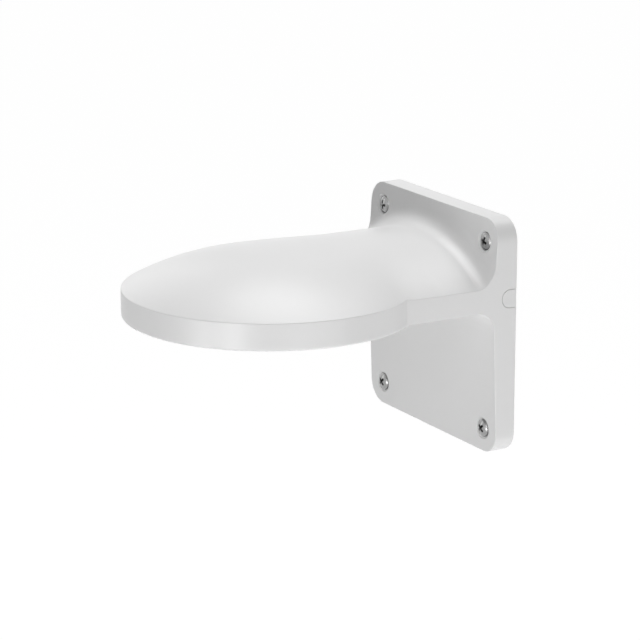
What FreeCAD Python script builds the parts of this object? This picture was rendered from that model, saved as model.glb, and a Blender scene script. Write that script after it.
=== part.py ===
import FreeCAD, Part
import math
import os
import re

import Sketcher
from FreeCAD import Placement, Rotation, Vector

# Wall bracket for a dome camera, in millimetres.
# The origin is the middle of the wall plate's back face. The wall is the plane Y = 0,
# the arm reaches along -Y, +Z is up and +X is the right-hand side seen from the front.

doc = FreeCAD.newDocument("camera_bracket")

# Driving sizes
sizes = {
    "plate_width": 100,
    "plate_height": 100,
    "plate_corner_radius": 9.5,
    "plate_depth_middle": 11.2,
    "plate_depth_top": 9.2,
    "plate_depth_bottom": 8.9,
    "plate_pocket_depth": 6,
    "wall_thickness": 3,
    "arm_underside": 12.3,
    "arm_band": 10.1,
    "disc_radius": 61,
    "disc_reach": 88,
    "dome_rise": 15.6,
    "rim_drop": 1.25,
    "rim_round": 1.2,
    "neck_radius": 2,
    "valley_radius": 20,
    "upper_fillet": 8.6,
    "lower_fillet": 8.5,
    "hole_inset": 10,
    "wall_hole_diameter": 4.5,
    "head_well_diameter": 9.2,
    "head_seat_depth": 6.9,
    "wall_boss_diameter": 15,
    "plate_rib": 2,
    "camera_circle": 85,
    "camera_hole_diameter": 3.3,
    "camera_hole_depth": 10,
    "camera_boss_diameter": 8.5,
    "camera_rib": 2,
    "camera_rib_setback": 2,
    "screw_diameter": 3.9,
    "screw_length": 6.7,
    "head_diameter": 7.5,
    "head_height": 2.6,
    "head_edge": 1.4,
    "recess_length": 4.2,
    "recess_width": 1.1,
    "recess_depth": 1.6,
    "entry_radius": 4,
    "entry_depth": 7.2,
    "entry_height": 4.8,
    "entry_gap": 0.2,
    "plug_flange_thickness": 1.3,
    "plug_flange_overlap": 1.5,
    "plug_flange_gap": 0.15,
}

sheet = doc.addObject("Spreadsheet::Sheet", "Sizes")
for row, (alias, value) in enumerate(sizes.items(), start=1):
    sheet.set(f"A{row}", alias)
    sheet.set(f"B{row}", str(value))
    sheet.setAlias(f"B{row}", alias)
doc.recompute()


def size(alias):
    """Value of one cell of the sheet."""
    return float(sheet.get(alias))


def cells(expression):
    """Expression in which every alias is written as a cell of the sheet."""
    return re.sub("[a-z_]+", lambda word: f"Sizes.{word[0]}" if word[0] in sizes else word[0], expression)


def bind(feature, **bindings):
    """Bind properties of a feature to the sheet. A double underscore in a name stands for a dot."""
    for name, expression in bindings.items():
        feature.setExpression(name.replace("__", "."), cells(expression))


# Expressions that several features share
rim_level = "(arm_underside + arm_band)"
apex_level = f"({rim_level} + dome_rise)"
rim_underside = "(arm_underside - rim_drop)"
neck_run = "sqrt(disc_radius ^ 2 - (plate_width / 2) ^ 2)"
valley_run = f"(valley_radius * (disc_radius - plate_width / 2) / {neck_run})"
straight_run = f"(disc_reach - {neck_run} - 3 * {valley_run})"
hole_across = "(plate_width / 2 - hole_inset)"
hole_up = "(plate_height / 2 - hole_inset)"


# Shaping helpers

# Spare length that a cutting or a cut shape runs past the faces it crosses
TRIM = 3
LONG = 40

# Turns the Z axis of a cylinder, a sketch or a screw to -Y, towards the front
UPRIGHT = Rotation(Vector(1, 0, 0), 90)


def box(name, length, width, height, x="0", y="0", z="0"):
    """Box with its lowest corner at x, y, z."""
    feature = doc.addObject("Part::Box", name)
    bind(feature, Length=length, Width=width, Height=height)
    bind(feature, Placement__Base__x=x, Placement__Base__y=y, Placement__Base__z=z)
    return feature


def cylinder(name, radius, height, x="0", y="0", z="0", turn=Rotation()):
    """Cylinder that starts at x, y, z and runs along the turned Z axis."""
    feature = doc.addObject("Part::Cylinder", name)
    feature.Placement = Placement(Vector(), turn)
    bind(feature, Radius=radius, Height=height)
    bind(feature, Placement__Base__x=x, Placement__Base__y=y, Placement__Base__z=z)
    return feature


def join(kind, name, members):
    """Fuse or common of several features, with split faces merged."""
    feature = doc.addObject(f"Part::Multi{kind}", name)
    feature.Shapes = members
    feature.Refine = True
    return feature


def cut(name, base, tool):
    """Base less tool."""
    feature = doc.addObject("Part::Cut", name)
    feature.Base = base
    feature.Tool = tool
    feature.Refine = True
    return feature


def round_edges(name, base, rounds):
    """Round the edges of base. Each entry of rounds is a test on an edge and a radius."""
    doc.recompute()
    feature = doc.addObject("Part::Fillet", name)
    feature.Base = base
    chosen = []
    for test, radius in rounds:
        numbers = [n for n, edge in enumerate(base.Shape.Edges, start=1) if test(edge)]
        if not numbers:
            raise RuntimeError(f"{name}: no edge to round")
        chosen += [(number, radius, radius) for number in numbers]
    feature.Edges = chosen
    doc.recompute()
    return feature


def spans(edge, low, high):
    """True when the edge's box lies inside the box from low to high, within a hundredth."""
    bounds = edge.BoundBox
    near = 0.01
    return all((bounds.XMin > low[0] - near, bounds.XMax < high[0] + near,
                bounds.YMin > low[1] - near, bounds.YMax < high[1] + near,
                bounds.ZMin > low[2] - near, bounds.ZMax < high[2] + near))


# Domed hull over the disc and the arm


def arch_section(name, station, centre, radius, half_width):
    """Upright closed section across the arm: an arc on top, straight sides and a flat bottom."""
    sketch = doc.addObject("Sketcher::SketchObject", name)
    sketch.Placement = Placement(Vector(), UPRIGHT)
    reach = 60
    span = 50
    lean = math.acos(span / reach)
    shoulder = math.sqrt(reach ** 2 - span ** 2)
    arc = Part.ArcOfCircle(Part.Circle(Vector(), Vector(0, 0, 1), reach), lean, math.pi - lean)
    corners = [Vector(-span, shoulder), Vector(-span, shoulder - LONG),
               Vector(span, shoulder - LONG), Vector(span, shoulder)]
    sketch.addGeometry([arc] + [Part.LineSegment(a, b) for a, b in zip(corners, corners[1:])])
    sketch.addConstraint([
        Sketcher.Constraint("Coincident", 0, 3, -1, 1),
        Sketcher.Constraint("Coincident", 0, 2, 1, 1),
        Sketcher.Constraint("Coincident", 1, 2, 2, 1),
        Sketcher.Constraint("Coincident", 2, 2, 3, 1),
        Sketcher.Constraint("Coincident", 3, 2, 0, 1),
        Sketcher.Constraint("Vertical", 1),
        Sketcher.Constraint("Vertical", 3),
        Sketcher.Constraint("Symmetric", 2, 1, 2, 2, -2),
        Sketcher.Constraint("DistanceY", 3, 1, 3, 2, LONG),
    ])
    width = sketch.addConstraint(Sketcher.Constraint("DistanceX", 2, 1, 2, 2, 2 * span))
    bend = sketch.addConstraint(Sketcher.Constraint("Radius", 0, reach))
    bind(sketch, **{f"Constraints[{width}]": f"2 * ({half_width})"})
    bind(sketch, **{f"Constraints[{bend}]": radius})
    bind(sketch, Placement__Base__y=station, Placement__Base__z=centre)
    return sketch


def arc_radius(half_width_squared):
    """Radius of the arc that rises by the dome's height over the given half width."""
    return f"(({half_width_squared} + dome_rise ^ 2) / (2 * dome_rise))"


def hull(name, inset):
    """Solid under the dome's skin, or under a skin moved inwards by inset.

    Ahead of the disc's middle the skin is a sphere that meets the rim all round. Behind
    it the ridge stays level, and each arc stands on the outline of the disc and then on
    the sides of the arm. A valley of its own radius leads from the one to the other.
    """
    sections = []
    half_arm = "plate_width / 2"
    sphere = arc_radius("disc_radius ^ 2")
    for share in (1.1, 0.9, 0.7, 0.5, 0.33, 0.16, 0):
        ahead = f"{share} * disc_radius"
        sections.append(arch_section(
            f"{name}_front_{len(sections)}",
            f"0 - disc_reach - {ahead}",
            f"{apex_level} - {sphere}",
            f"sqrt(({sphere} - {inset}) ^ 2 - ({ahead}) ^ 2)",
            f"disc_radius + {TRIM}"))
    valley_start = f"{neck_run} - {valley_run} * {half_arm} / disc_radius"
    stands = [(run, f"sqrt(disc_radius ^ 2 - ({run}) ^ 2)")
              for run in (f"0.29 * {neck_run}", f"0.57 * {neck_run}", valley_start)]
    stands.append((neck_run, f"({half_arm} + valley_radius - sqrt(valley_radius ^ 2 - {valley_run} ^ 2))"))
    stands += [(f"{neck_run} + {share} * {valley_run}", f"({half_arm})") for share in (1, 2, 3)]
    for behind, half_width in stands:
        bend = arc_radius(f"{half_width} ^ 2")
        sections.append(arch_section(
            f"{name}_back_{len(sections)}",
            f"0 - disc_reach + {behind}",
            f"{apex_level} - {bend}",
            f"{bend} - {inset}",
            f"{half_width} + {TRIM}"))
    domed = doc.addObject("Part::Loft", f"{name}_domed")
    domed.Sections = sections
    domed.Solid = True
    domed.Ruled = False
    straight = doc.addObject("Part::Extrusion", f"{name}_straight")
    straight.Base = sections[-1]
    straight.DirMode = "Custom"
    straight.Dir = Vector(0, 1, 0)
    straight.Solid = True
    bind(straight, LengthFwd=f"{straight_run} + {TRIM}")
    return join("Fuse", name, [domed, straight])


outer_hull = hull("outer_hull", "0")
middle_hull = hull("middle_hull", "(wall_thickness / 2)")
inner_hull = hull("inner_hull", "wall_thickness")

# Arm and disc, solid

disc_middle = "(0 - disc_reach)"
disc_blank = cylinder("disc_blank", "disc_radius", f"dome_rise + {LONG}", y=disc_middle, z=rim_underside)
arm_blank = box("arm_blank", "plate_width", "disc_reach - wall_thickness", f"dome_rise + {LONG}",
                x="0 - plate_width / 2", y=disc_middle, z="arm_underside")
outline = join("Fuse", "outline", [disc_blank, arm_blank])
neck_y = size("disc_reach") - math.sqrt(size("disc_radius") ** 2 - (size("plate_width") / 2) ** 2)


def is_neck(edge):
    """True for the two upright inner corners where the disc meets the sides of the arm."""
    bounds = edge.BoundBox
    level = bounds.ZMin > size("arm_underside") - 0.01
    return level and bounds.XLength < 0.01 and bounds.YLength < 0.01 and abs(bounds.YMin + neck_y) < 0.01


neck = round_edges("neck", outline, [(is_neck, size("neck_radius"))])
arm_and_disc = join("Common", "arm_and_disc", [outer_hull, neck])


# Wall plate, solid: thickest behind the arm, thinner towards its top and bottom


def own_plane(body, role):
    """One of the body's own origin planes or axes."""
    return next(item for item in body.Origin.OriginFeatures if item.Role == role)


def flat_sketch(body, name, plane, x="0", y="0", offset="0"):
    """Empty sketch on one of the body's own planes, moved within it and off it."""
    sketch = body.newObject("Sketcher::SketchObject", name)
    sketch.AttachmentSupport = [(own_plane(body, plane), "")]
    sketch.MapMode = "FlatFace"
    bind(sketch, AttachmentOffset__Base__x=x, AttachmentOffset__Base__y=y, AttachmentOffset__Base__z=offset)
    return sketch


def value(expression):
    """Value of an expression now."""
    return float(sheet.evalExpression(cells(expression)))


def hold_along(sketch, direction, geometry, end, expression):
    """Hold a point of the sketch at a distance from the sketch's origin along X or Y."""
    distance = value(expression)
    if abs(distance) < 1e-9:
        axis = {"X": -2, "Y": -1}[direction]
        sketch.addConstraint(Sketcher.Constraint("PointOnObject", geometry, end, axis))
    elif distance > 0:
        number = sketch.addConstraint(Sketcher.Constraint(f"Distance{direction}", -1, 1, geometry, end, distance))
        bind(sketch, **{f"Constraints[{number}]": expression})
    else:
        number = sketch.addConstraint(Sketcher.Constraint(f"Distance{direction}", geometry, end, -1, 1, -distance))
        bind(sketch, **{f"Constraints[{number}]": f"0 - ({expression})"})


def hold(sketch, geometry, end, x, y):
    """Hold a point of the sketch at x, y from the sketch's origin. Both are expressions."""
    hold_along(sketch, "X", geometry, end, x)
    hold_along(sketch, "Y", geometry, end, y)


def add_polygon(sketch, corners):
    """Closed run of straight lines through corners, each a pair of expressions."""
    points = [Vector(value(x), value(y), 0) for x, y in corners]
    first = sketch.GeometryCount
    count = len(points)
    for index in range(count):
        sketch.addGeometry(Part.LineSegment(points[index], points[(index + 1) % count]))
    for index in range(count):
        following = (index + 1) % count
        sketch.addConstraint(Sketcher.Constraint("Coincident", first + index, 2, first + following, 1))
    for index, (x, y) in enumerate(corners):
        hold(sketch, first + index, 1, x, y)
    return sketch


def add_circle(sketch, x, y, radius):
    """Circle about x, y."""
    circle = Part.Circle(Vector(value(x), value(y), 0), Vector(0, 0, 1), value(radius))
    geometry = sketch.addGeometry(circle)
    hold(sketch, geometry, 3, x, y)
    number = sketch.addConstraint(Sketcher.Constraint("Radius", geometry, value(radius)))
    bind(sketch, **{f"Constraints[{number}]": radius})
    return sketch


def add_feature(body, kind, name, profile=None, **bindings):
    """Feature of a body, from a sketch if one is given."""
    feature = body.newObject(f"PartDesign::{kind}", name)
    if profile is not None:
        feature.Profile = profile
    bind(feature, **bindings)
    return feature


def round_body(body, name, radius, test):
    """Round the edges of the body's last feature that pass the test."""
    doc.recompute()
    base = body.Tip
    names = [f"Edge{n}" for n, edge in enumerate(base.Shape.Edges, start=1) if test(edge)]
    feature = body.newObject("PartDesign::Fillet", name)
    feature.Base = (base, names)
    bind(feature, Radius=radius)
    return feature


half_width = size("plate_width") / 2
half_height = size("plate_height") / 2
band_middle = "(arm_underside + arm_band / 2)"

wall_plate = doc.addObject("PartDesign::Body", "wall_plate")
plate_side = flat_sketch(wall_plate, "plate_side", "YZ_Plane")
add_polygon(plate_side, [
    ("0", "0 - plate_height / 2"),
    ("0 - plate_depth_bottom", "0 - plate_height / 2"),
    ("0 - plate_depth_middle", band_middle),
    ("0 - plate_depth_top", "plate_height / 2"),
    ("0", "plate_height / 2"),
])
plate_pad = add_feature(wall_plate, "Pad", "plate_pad", plate_side, Length="plate_width")
plate_pad.Midplane = True


def is_plate_corner(edge):
    """True for the four edges at the plate's corners that run from front to back."""
    bounds = edge.BoundBox
    middle = bounds.Center
    at_side = abs(abs(middle.x) - half_width) < 0.01
    at_end = abs(abs(middle.z) - half_height) < 0.01
    return at_side and at_end and bounds.YLength > 1


round_body(wall_plate, "plate_corners", "plate_corner_radius", is_plate_corner)
doc.recompute()

# Casting, solid, with its soft inner corners

solid_casting = join("Fuse", "solid_casting", [arm_and_disc, wall_plate])
deepest = size("plate_depth_middle")


def is_upper_junction(edge):
    """True for the arch where the arm's domed top meets the front of the plate."""
    level = size("arm_underside") + size("arm_band")
    low = (-half_width, -deepest, level)
    high = (half_width, -size("plate_depth_top"), level + size("dome_rise"))
    return spans(edge, low, high) and edge.BoundBox.XLength > 1


def is_lower_junction(edge):
    """True for the straight edge where the arm's underside meets the front of the plate."""
    level = size("arm_underside")
    return spans(edge, (-half_width, -deepest, level), (half_width, -size("plate_depth_bottom"), level))


def is_rim_foot(edge):
    """True for the outer lower edge of the disc's rim."""
    return edge.BoundBox.ZMax < size("arm_underside") - size("rim_drop") + 0.01 and edge.BoundBox.YMax < -deepest


# The upper fillet ends below the plate's top edge and on the arm's straight part
upper_room = min(half_height - value(apex_level), value(straight_run) - deepest)
rounded_casting = round_edges("rounded_casting", solid_casting, [
    (is_upper_junction, min(size("upper_fillet"), 0.8 * upper_room)),
    (is_lower_junction, size("lower_fillet")),
    (is_rim_foot, min(size("rim_round"), 0.96 * size("rim_drop"))),
])


# Hollow: dome space open below, cable channel through the arm, pocket in the plate's back

inner_disc = cylinder("inner_disc", "disc_radius - wall_thickness", f"dome_rise + {LONG}",
                      y=disc_middle, z=f"{rim_underside} - {TRIM}")
channel_floor = "(arm_underside + wall_thickness)"
inner_arm = box("inner_arm", "plate_width - 2 * wall_thickness", f"disc_reach + {TRIM}", f"dome_rise + {LONG}",
                x="wall_thickness - plate_width / 2", y=disc_middle, z=channel_floor)
inner_outline = join("Fuse", "inner_outline", [inner_disc, inner_arm])
dome_space = join("Common", "dome_space", [inner_hull, inner_outline])

pocket_blank = box("pocket_blank", "plate_width - 2 * wall_thickness", f"plate_pocket_depth + {TRIM}",
                   "plate_height - 2 * wall_thickness",
                   x="wall_thickness - plate_width / 2", y="0 - plate_pocket_depth",
                   z="wall_thickness - plate_height / 2")


def is_pocket_corner(edge):
    """True for the four corners of the pocket that run from front to back."""
    return edge.BoundBox.YLength > 1


pocket = round_edges("pocket", pocket_blank, [
    (is_pocket_corner, size("plate_corner_radius") - size("wall_thickness"))])

corners = {"top_left": (-1, 1), "top_right": (1, 1), "bottom_left": (-1, -1), "bottom_right": (1, -1)}
kept_in_pocket = []
for corner, (side, end) in corners.items():
    kept_in_pocket.append(cylinder(
        f"wall_boss_{corner}", "wall_boss_diameter / 2", f"plate_pocket_depth + 2 * {TRIM}",
        x=f"{side} * {hole_across}", y=f"{TRIM}", z=f"{end} * {hole_up}", turn=UPRIGHT))
for end, name in ((1, "upper"), (-1, "lower")):
    kept_in_pocket.append(box(
        f"{name}_plate_rib", f"2 * {hole_across}", f"plate_pocket_depth + 2 * {TRIM}", "plate_rib",
        x=f"0 - {hole_across}", y=f"0 - plate_pocket_depth - {TRIM}",
        z=f"{end} * {hole_up} - plate_rib / 2"))
kept_in_pocket.append(box(
    "middle_plate_rib", "plate_rib", f"plate_pocket_depth + 2 * {TRIM}", f"plate_height / 2 + {channel_floor}",
    x="0 - plate_rib / 2", y=f"0 - plate_pocket_depth - {TRIM}", z="0 - plate_height / 2"))
pocket_stays = join("Fuse", "pocket_stays", kept_in_pocket)
pocket_space = cut("pocket_space", pocket, pocket_stays)
hollow = join("Fuse", "hollow", [dome_space, pocket_space])
shell = cut("shell", rounded_casting, hollow)


# Posts for the camera's screws, each with a rib out to the rim

posts = []
rim_middle = "(disc_radius - wall_thickness / 2)"
for index, angle in enumerate((0, 120, 240)):
    posts.append(cylinder(
        f"camera_post_{index}", "camera_boss_diameter / 2", f"dome_rise + {LONG}",
        x=f"camera_circle / 2 * sin({angle})",
        y=f"0 - disc_reach - camera_circle / 2 * cos({angle})",
        z=rim_underside))
    rib = box(
        f"camera_rib_{index}", "camera_rib", f"{rim_middle} - camera_circle / 2", f"dome_rise + {LONG}",
        x=f"{rim_middle} * sin({angle}) - camera_rib / 2 * cos({angle})",
        y=f"0 - disc_reach - {rim_middle} * cos({angle}) - camera_rib / 2 * sin({angle})",
        z=f"{rim_underside} + camera_rib_setback")
    bind(rib, Placement__Rotation__Angle=f"{angle}")
    posts.append(rib)
posts_and_ribs = join("Fuse", "posts_and_ribs", posts)
posts_under_skin = join("Common", "posts_under_skin", [middle_hull, posts_and_ribs])
casting = join("Fuse", "casting", [shell, posts_under_skin])
doc.recompute()


# Finished casting: screw holes, camera holes and the side cable entry

bracket = doc.addObject("PartDesign::Body", "bracket_body")
bracket.BaseFeature = casting
doc.recompute()

drill_plane = f"(plate_depth_middle + {TRIM})"
wall_hole_points = flat_sketch(bracket, "wall_hole_points", "XZ_Plane", offset=drill_plane)
for side, end in corners.values():
    add_circle(wall_hole_points, f"{side} * {hole_across}", f"{end} * {hole_up}", "wall_hole_diameter / 2")
doc.recompute()
wall_holes = add_feature(bracket, "Hole", "wall_holes", wall_hole_points)
wall_holes.DepthType = "ThroughAll"
wall_holes.HoleCutType = "Counterbore"
wall_holes.HoleCutCustomValues = True
bind(wall_holes, Diameter="wall_hole_diameter", HoleCutDiameter="head_well_diameter",
     HoleCutDepth=f"{drill_plane} - head_seat_depth")
doc.recompute()

camera_hole_point = flat_sketch(bracket, "camera_hole_point", "XY_Plane", y=disc_middle, offset=rim_underside)
add_circle(camera_hole_point, "0", "0 - camera_circle / 2", "camera_hole_diameter / 2")
camera_hole = add_feature(bracket, "Pocket", "camera_hole", camera_hole_point, Length="camera_hole_depth")
camera_hole.Reversed = True
doc.recompute()
camera_holes = bracket.newObject("PartDesign::PolarPattern", "camera_holes")
camera_holes.Originals = [camera_hole]
camera_holes.Axis = (camera_hole_point, ["N_Axis"])
camera_holes.Angle = 360
camera_holes.Occurrences = 3
bracket.Tip = camera_holes
doc.recompute()

entry_middle = "(0 - entry_depth + entry_radius)"
entry_level = "(arm_underside + entry_height)"


def add_entry_outline(sketch, radius, open_end):
    """Outline of the cable entry: a half circle towards the front, open at open_end."""
    middle = Vector(value(entry_middle), value(entry_level), 0)
    reach = value(radius)
    stop = value(open_end)
    arc = Part.ArcOfCircle(Part.Circle(middle, Vector(0, 0, 1), reach), math.pi / 2, 3 * math.pi / 2)
    run = [Vector(middle.x, middle.y - reach, 0), Vector(stop, middle.y - reach, 0),
           Vector(stop, middle.y + reach, 0), Vector(middle.x, middle.y + reach, 0)]
    sketch.addGeometry([arc] + [Part.LineSegment(a, b) for a, b in zip(run, run[1:])])
    sketch.addConstraint([
        Sketcher.Constraint("Coincident", 0, 2, 1, 1),
        Sketcher.Constraint("Coincident", 1, 2, 2, 1),
        Sketcher.Constraint("Coincident", 2, 2, 3, 1),
        Sketcher.Constraint("Coincident", 3, 2, 0, 1),
        Sketcher.Constraint("Vertical", 0, 1, 0, 3),
        Sketcher.Constraint("Vertical", 0, 2, 0, 3),
        Sketcher.Constraint("Horizontal", 1),
        Sketcher.Constraint("Horizontal", 3),
    ])
    hold(sketch, 0, 3, entry_middle, entry_level)
    hold_along(sketch, "X", 1, 2, open_end)
    sketch.addConstraint(Sketcher.Constraint("Vertical", 2))
    bend = sketch.addConstraint(Sketcher.Constraint("Radius", 0, reach))
    bind(sketch, **{f"Constraints[{bend}]": radius})


entry_outline = flat_sketch(bracket, "entry_outline", "YZ_Plane", offset="plate_width / 2")
add_entry_outline(entry_outline, "entry_radius", f"{TRIM}")
entry = add_feature(bracket, "Pocket", "entry", entry_outline, Length="wall_thickness")
doc.recompute()


# Plug of the side cable entry: a block flush with the plate's side and a flange behind the wall

plug = doc.addObject("PartDesign::Body", "side_entry_plug")
plug_radius = "(entry_radius - entry_gap)"
inner_face = "(plate_width / 2 - wall_thickness)"
flange_face = f"({inner_face} - plug_flange_gap - plug_flange_thickness)"
plug_block_outline = flat_sketch(plug, "plug_block_outline", "YZ_Plane", offset=inner_face)
add_entry_outline(plug_block_outline, plug_radius, "0 - entry_gap")
add_feature(plug, "Pad", "plug_block", plug_block_outline, Length="wall_thickness")
doc.recompute()


def add_rectangle(sketch, left, right, low, high):
    """Upright rectangle between four expressions."""
    add_polygon(sketch, [(left, low), (right, low), (right, high), (left, high)])


front_of_flange = "(0 - plate_pocket_depth + entry_gap)"
for name, reach, thickness in (
        ("plug_stem", plug_radius, "plug_flange_gap + plug_flange_thickness"),
        ("plug_flange", "(entry_radius + plug_flange_overlap)", "plug_flange_thickness")):
    outline_sketch = flat_sketch(plug, f"{name}_outline", "YZ_Plane", offset=flange_face)
    add_rectangle(outline_sketch, front_of_flange, "0 - entry_gap",
                  f"{entry_level} - {reach}", f"{entry_level} + {reach}")
    add_feature(plug, "Pad", name, outline_sketch, Length=thickness)
    doc.recompute()


# Wall screws: pan heads with a cross recess, sunk in the wells of the plate


def make_screw(name, side, end):
    """Screw with its head's seat at its own origin, turned so that the head faces the front."""
    screw = doc.addObject("PartDesign::Body", name)
    profile = flat_sketch(screw, f"{name}_profile", "XZ_Plane")
    add_polygon(profile, [
        ("0", "head_height"),
        ("head_diameter / 2", "head_height"),
        ("head_diameter / 2", "0"),
        ("screw_diameter / 2", "0"),
        ("screw_diameter / 2", "0 - screw_length + screw_diameter / 8"),
        ("screw_diameter * 3 / 8", "0 - screw_length"),
        ("0", "0 - screw_length"),
    ])
    turned = add_feature(screw, "Revolution", f"{name}_turned", profile)
    turned.ReferenceAxis = (profile, ["V_Axis"])
    turned.Angle = 360

    def is_head_edge(edge):
        """True for the outer upper edge of the head."""
        bounds = edge.BoundBox
        return bounds.ZMin > size("head_height") - 0.01 and bounds.XLength > size("head_diameter") / 2

    round_body(screw, f"{name}_crown", "head_height - head_edge", is_head_edge)
    recess_outline = flat_sketch(screw, f"{name}_recess_outline", "XY_Plane", offset="head_height")
    arm = "recess_length / 2"
    slot = "recess_width / 2"
    quarter = [(arm, f"0 - {slot}"), (arm, slot), (slot, slot)]
    cross = []
    for _ in range(4):
        cross += quarter
        quarter = [(f"0 - ({y})", x) for x, y in quarter]
    add_polygon(recess_outline, cross)
    add_feature(screw, "Pocket", f"{name}_recess", recess_outline, Length="recess_depth")
    screw.Placement = Placement(Vector(), UPRIGHT)
    bind(screw, Placement__Base__x=f"{side} * {hole_across}", Placement__Base__y="0 - head_seat_depth",
         Placement__Base__z=f"{end} * {hole_up}")
    return screw


screws = [make_screw(f"wall_screw_{corner}", side, end) for corner, (side, end) in corners.items()]
doc.recompute()


# Checks and files

nodes = [bracket, plug] + screws
for feature in doc.Objects:
    if "Invalid" in feature.State or "Error" in feature.State:
        raise RuntimeError(f"{feature.Name} failed: {feature.State}")
for node in nodes:
    shape = node.Shape
    if shape.isNull() or not shape.isValid() or len(shape.Solids) != 1:
        raise RuntimeError(f"{node.Label} is not one valid solid")
os.makedirs("parts", exist_ok=True)
for node in nodes:
    node.Shape.exportStep(f"parts/{node.Label}.step")
    print(f"{node.Label}: {node.Shape.Volume:.1f} cubic millimetres")
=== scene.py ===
"""Looks of a cast wall bracket for a dome camera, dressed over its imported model.

Everything is in metres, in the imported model's frame. The origin is the middle of the
wall plate's back face, +Y runs into the wall, +Z is up, and the arm reaches along -Y.
"""
import logging
import math
from collections.abc import Callable, Iterable, Sequence
from dataclasses import dataclass, field
from enum import Enum
from typing import Any

import bmesh
import bpy
from bmesh.types import BMEdge, BMesh, BMFace, BMVert
from bpy.types import ID, Material, Mesh, Node, NodeSocket, NodeTree, Object
from mathutils import Matrix, Vector
from mathutils.bvhtree import BVHTree


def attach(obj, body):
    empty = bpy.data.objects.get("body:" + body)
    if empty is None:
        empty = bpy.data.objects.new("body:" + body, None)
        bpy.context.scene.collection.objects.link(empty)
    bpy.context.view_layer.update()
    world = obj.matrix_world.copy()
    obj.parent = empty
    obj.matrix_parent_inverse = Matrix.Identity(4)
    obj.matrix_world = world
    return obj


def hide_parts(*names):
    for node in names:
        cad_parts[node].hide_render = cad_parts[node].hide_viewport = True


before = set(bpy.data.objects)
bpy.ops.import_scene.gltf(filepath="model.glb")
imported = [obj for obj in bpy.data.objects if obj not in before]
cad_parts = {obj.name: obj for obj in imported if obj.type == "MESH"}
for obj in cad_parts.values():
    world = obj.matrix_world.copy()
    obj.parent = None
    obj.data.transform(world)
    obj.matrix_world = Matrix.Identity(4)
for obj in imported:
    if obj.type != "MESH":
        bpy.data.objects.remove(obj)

MM = 0.001
SCREW_PITCH = 80 * MM
BODY = "root"
LOG = logging.getLogger("bracket")

Colour = tuple[float, float, float]
Face = Sequence[int]


class Side(Enum):
    """Where a face of the casting lies, which decides its finish."""

    OUTSIDE = 0
    INSIDE = 1
    TAPPED = 2


def opaque(colour: Colour) -> tuple[float, float, float, float]:
    """Give a colour the fourth number that a colour socket takes."""
    return (*colour, 1.0)


def darkened(colour: Colour, share: float) -> Colour:
    """Keep the given share of a colour's light."""
    return tuple(value * share for value in colour)


class NodeGraph:
    """Node tree that is written as plain calls, one for each node."""

    def __init__(self, tree: NodeTree) -> None:
        """Take over a tree and empty it."""
        self.tree = tree
        tree.nodes.clear()

    def node(self, kind: str, settings: dict[str, Any] | None = None,
             inputs: dict[str | int, Any] | None = None) -> Node:
        """Add one node.

        Args:
            kind: The node's type name.
            settings: Its properties, which are set before its sockets.
            inputs: A value, a socket or a signal for each named or numbered socket.

        Returns:
            The new node.
        """
        node = self.tree.nodes.new(kind)
        for name, value in (settings or {}).items():
            setattr(node, name, value)
        for key, value in (inputs or {}).items():
            self.feed(node.inputs[key], value)
        return node

    def feed(self, target: NodeSocket, value: Any) -> None:
        """Link a socket or a signal to an input, or set a plain value on it.

        Args:
            target: The input socket.
            value: The socket, the signal or the value.
        """
        source = value.socket if isinstance(value, Signal) else value
        if isinstance(source, NodeSocket):
            self.tree.links.new(source, target)
        else:
            target.default_value = source

    def mix_shaders(self, factor: "Signal", first: NodeSocket, second: NodeSocket) -> NodeSocket:
        """Mix two shaders, where a factor of 0 gives the first one."""
        node = self.node("ShaderNodeMixShader", None, {0: factor, 1: first, 2: second})
        return node.outputs[0]


class Signal:
    """Number on a socket. Arithmetic on it adds Math nodes."""

    def __init__(self, graph: NodeGraph, socket: NodeSocket) -> None:
        """Wrap one output socket of a graph."""
        self.graph = graph
        self.socket = socket

    def math(self, operation: str, *operands: "Signal | float") -> "Signal":
        """Add a Math node.

        Args:
            operation: The node's operation.
            operands: Its inputs in order.

        Returns:
            The node's result.
        """
        node = self.graph.node(
            "ShaderNodeMath", {"operation": operation}, dict(enumerate(operands)))
        return Signal(self.graph, node.outputs[0])

    def __add__(self, other: "Signal | float") -> "Signal":
        """Sum."""
        return self.math("ADD", self, other)

    def __sub__(self, other: "Signal | float") -> "Signal":
        """Difference."""
        return self.math("SUBTRACT", self, other)

    def __rsub__(self, other: "Signal | float") -> "Signal":
        """Difference from a number."""
        return self.math("SUBTRACT", other, self)

    def __mul__(self, other: "Signal | float") -> "Signal":
        """Product."""
        return self.math("MULTIPLY", self, other)

    def __truediv__(self, other: "Signal | float") -> "Signal":
        """Quotient."""
        return self.math("DIVIDE", self, other)

    def __pow__(self, other: "Signal | float") -> "Signal":
        """Power."""
        return self.math("POWER", self, other)

    def __abs__(self) -> "Signal":
        """Size without its sign."""
        return self.math("ABSOLUTE", self)

    __radd__ = __add__
    __rmul__ = __mul__

    def wave(self, length: float) -> "Signal":
        """Sine of the signal, from 0 to 1, that repeats after the given length."""
        return self.math("SINE", self * (math.tau / length)) * 0.5 + 0.5


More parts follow.
